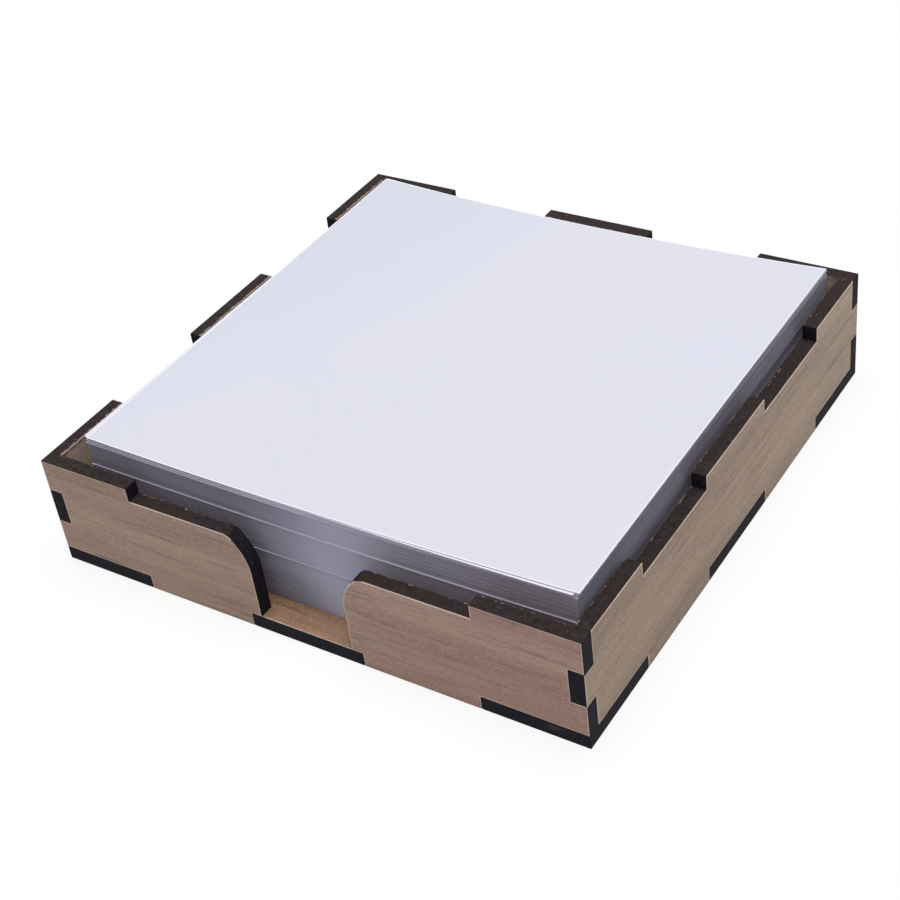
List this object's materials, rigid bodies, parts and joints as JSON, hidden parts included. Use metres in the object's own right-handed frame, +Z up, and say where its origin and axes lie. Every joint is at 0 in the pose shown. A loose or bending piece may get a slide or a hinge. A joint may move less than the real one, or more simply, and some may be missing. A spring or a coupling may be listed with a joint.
{
  "type": "memo note holder",
  "caption": "Low square tray of finger-jointed veneered board with charred edges and a flared thumb notch in front, filled with a stack of loose square paper notes.",
  "frame": {"origin": "centre of the holder's underside", "axes": "+Z up, thumb notch in the front wall towards -Y, +X to the right seen from the front"},
  "size_m": [0.1, 0.1, 0.0244],
  "materials": {
    "veneered_board": "greyed oak veneer, matt, with edges charred dark by the laser",
    "note_paper": "uncoated white office paper"
  },
  "bodies": {
    "holder": {"base_panel": "veneered_board", "left_wall": "veneered_board", "right_wall": "veneered_board", "back_wall": "veneered_board", "front_wall_left": "veneered_board", "front_wall_right": "veneered_board"},
    "lower_pack": {"lower_notes": "note_paper", "lower_proud_note": "note_paper"},
    "middle_pack": {"middle_notes": "note_paper", "middle_proud_note": "note_paper"},
    "upper_pack": {"upper_notes": "note_paper", "upper_proud_note": "note_paper"},
    "top_pack": {"top_notes": "note_paper"},
    "note_7": {"note_sheet_7": "note_paper"},
    "note_6": {"note_sheet_6": "note_paper"},
    "note_5": {"note_sheet_5": "note_paper"},
    "note_4": {"note_sheet_4": "note_paper"},
    "note_3": {"note_sheet_3": "note_paper"},
    "note_2": {"note_sheet_2": "note_paper"},
    "note_1": {"note_sheet_1": "note_paper"}
  },
  "joints": [
    {"name": "lift_lower_pack", "type": "slide", "parent": "holder", "child": "lower_pack", "axis": [0, 0, 1], "range_m": [0, 0.03]},
    {"name": "lift_middle_pack", "type": "slide", "parent": "lower_pack", "child": "middle_pack", "axis": [0, 0, 1], "range_m": [0, 0.03]},
    {"name": "lift_upper_pack", "type": "slide", "parent": "middle_pack", "child": "upper_pack", "axis": [0, 0, 1], "range_m": [0, 0.03]},
    {"name": "lift_top_pack", "type": "slide", "parent": "upper_pack", "child": "top_pack", "axis": [0, 0, 1], "range_m": [0, 0.03]},
    {"name": "lift_note_7", "type": "slide", "parent": "top_pack", "child": "note_7", "axis": [0, 0, 1], "range_m": [0, 0.03]},
    {"name": "lift_note_6", "type": "slide", "parent": "note_7", "child": "note_6", "axis": [0, 0, 1], "range_m": [0, 0.03]},
    {"name": "lift_note_5", "type": "slide", "parent": "note_6", "child": "note_5", "axis": [0, 0, 1], "range_m": [0, 0.03]},
    {"name": "lift_note_4", "type": "slide", "parent": "note_5", "child": "note_4", "axis": [0, 0, 1], "range_m": [0, 0.03]},
    {"name": "lift_note_3", "type": "slide", "parent": "note_4", "child": "note_3", "axis": [0, 0, 1], "range_m": [0, 0.03]},
    {"name": "lift_note_2", "type": "slide", "parent": "note_3", "child": "note_2", "axis": [0, 0, 1], "range_m": [0, 0.03]},
    {"name": "lift_note_1", "type": "slide", "parent": "note_2", "child": "note_1", "axis": [0, 0, 1], "range_m": [0, 0.03]}
  ]
}
